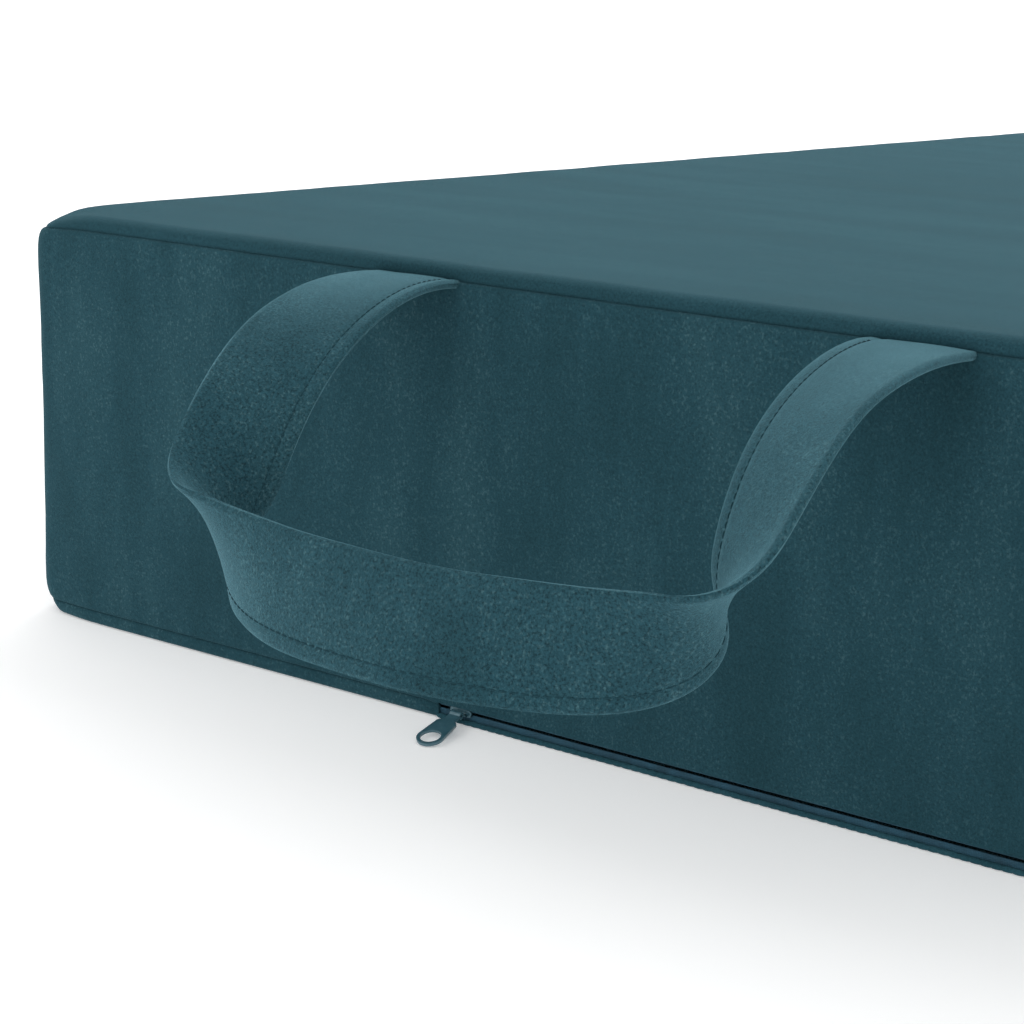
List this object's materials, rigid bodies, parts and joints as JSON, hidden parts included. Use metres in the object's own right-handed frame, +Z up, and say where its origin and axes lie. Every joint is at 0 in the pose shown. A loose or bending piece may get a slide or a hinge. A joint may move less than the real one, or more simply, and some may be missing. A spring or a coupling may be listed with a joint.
{
  "type": "incline wedge mat",
  "caption": "Long foam wedge in a zipped short-pile fabric cover, with a twisted strap handle on its tall end and a zip slider with a pull tab along its foot.",
  "frame": {"origin": "middle of the block's footprint, on the surface that it rests on", "axes": "+X to the right along the tall end, +Y from the tall end to the low end, +Z up"},
  "size_m": [0.8296, 2.0375, 0.237],
  "materials": {
    "velvet": "short-pile velvet, satin sheen",
    "strap_velvet": "short-pile velvet strap, topstitched",
    "zip_tape": "woven tape",
    "zip_coil": "nylon coil",
    "zip_metal": "satin paint",
    "webbing": "plain woven webbing",
    "liner_cloth": "thin non-woven liner",
    "foam_firm": "firm closed-cell foam",
    "foam_soft": "soft open-cell foam"
  },
  "bodies": {
    "root": {"foam_base_wedge": "foam_firm", "foam_comfort_layer": "foam_soft", "inner_liner": "liner_cloth", "top_panel": "velvet", "bottom_panel": "velvet", "tall_end_panel": "velvet", "low_end_panel": "velvet", "left_side_panel": "velvet", "right_side_panel": "velvet", "zip_tape_upper": "zip_tape", "zip_tape_lower": "zip_tape", "zip_coil_upper": "zip_coil", "zip_coil_lower": "zip_coil", "zip_top_stops": "zip_metal", "zip_bottom_stop": "zip_metal"},
    "zip_slider": {"zip_slider_body": "zip_metal"},
    "pull_tab": {"zip_pull_tab": "zip_metal"},
    "handle": {"carry_handle": "strap_velvet", "handle_core": "webbing"}
  },
  "joints": [
    {"name": "zip_slide", "type": "slide", "parent": "root", "child": "zip_slider", "axis": [1, 0, 0], "range_m": [0, 0.44]},
    {"name": "pull_tab_swing", "type": "hinge", "parent": "zip_slider", "child": "pull_tab", "pos_m": [-0.109, -0.9184, 0.0066], "axis": [-1, 0, 0], "range_deg": [0, 95]},
    {"name": "handle_lift", "type": "hinge", "parent": "root", "child": "handle", "pos_m": [0, -0.9176, 0.229], "axis": [-1, 0, 0], "range_deg": [0, 100]}
  ]
}
